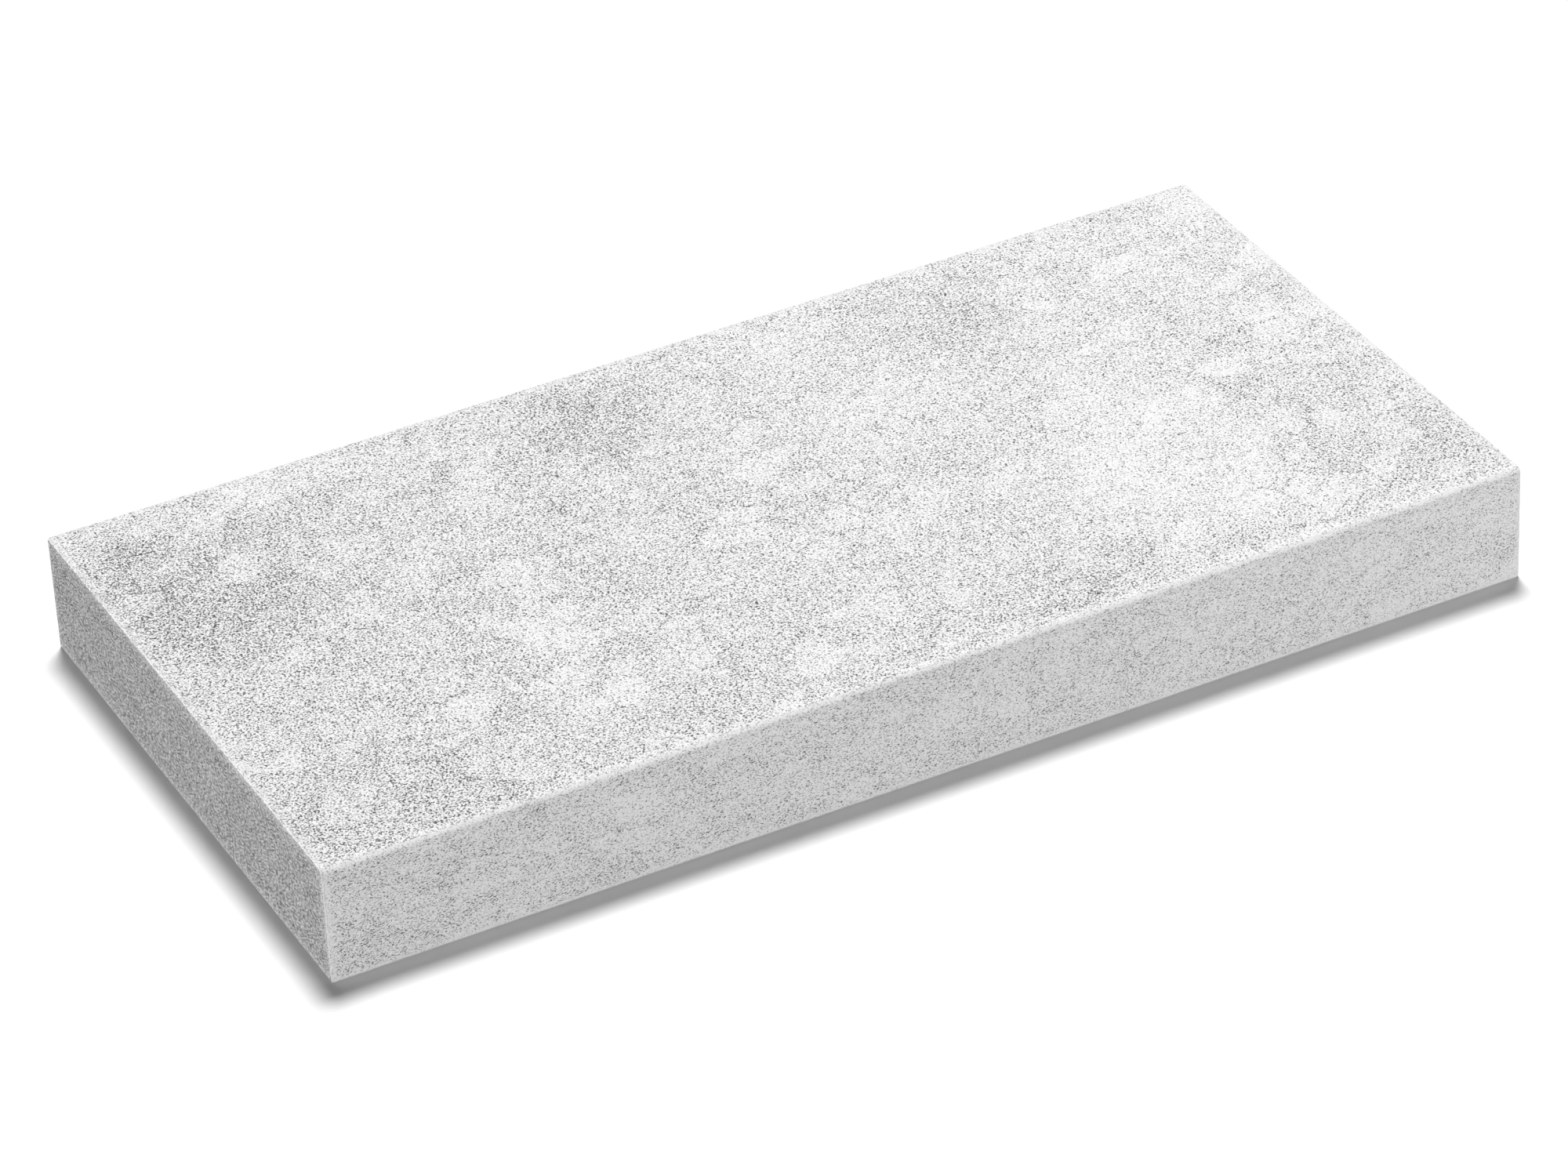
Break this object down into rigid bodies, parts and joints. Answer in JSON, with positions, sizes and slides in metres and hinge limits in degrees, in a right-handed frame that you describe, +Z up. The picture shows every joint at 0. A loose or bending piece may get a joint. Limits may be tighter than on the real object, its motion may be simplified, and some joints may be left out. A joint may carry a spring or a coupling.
{
  "type": "marble pool coping",
  "caption": "Flat rectangular marble slab that caps a pool wall, with its long pool-side top edge eased round and its other edges sawn with a small arris.",
  "frame": {"origin": "middle of the bed face, which lies on the mortar", "axes": "+X along the slab's length and the pool's edge, -Y towards the water (the side with the eased edge), +Y towards the deck, +Z up out of the walking face"},
  "size_m": [0.6, 0.3, 0.06],
  "materials": {
    "marble": "sandblasted, near white with fine grey speckle and faint clouding"
  },
  "bodies": {
    "root": {"coping_slab": "marble"}
  },
  "joints": []
}
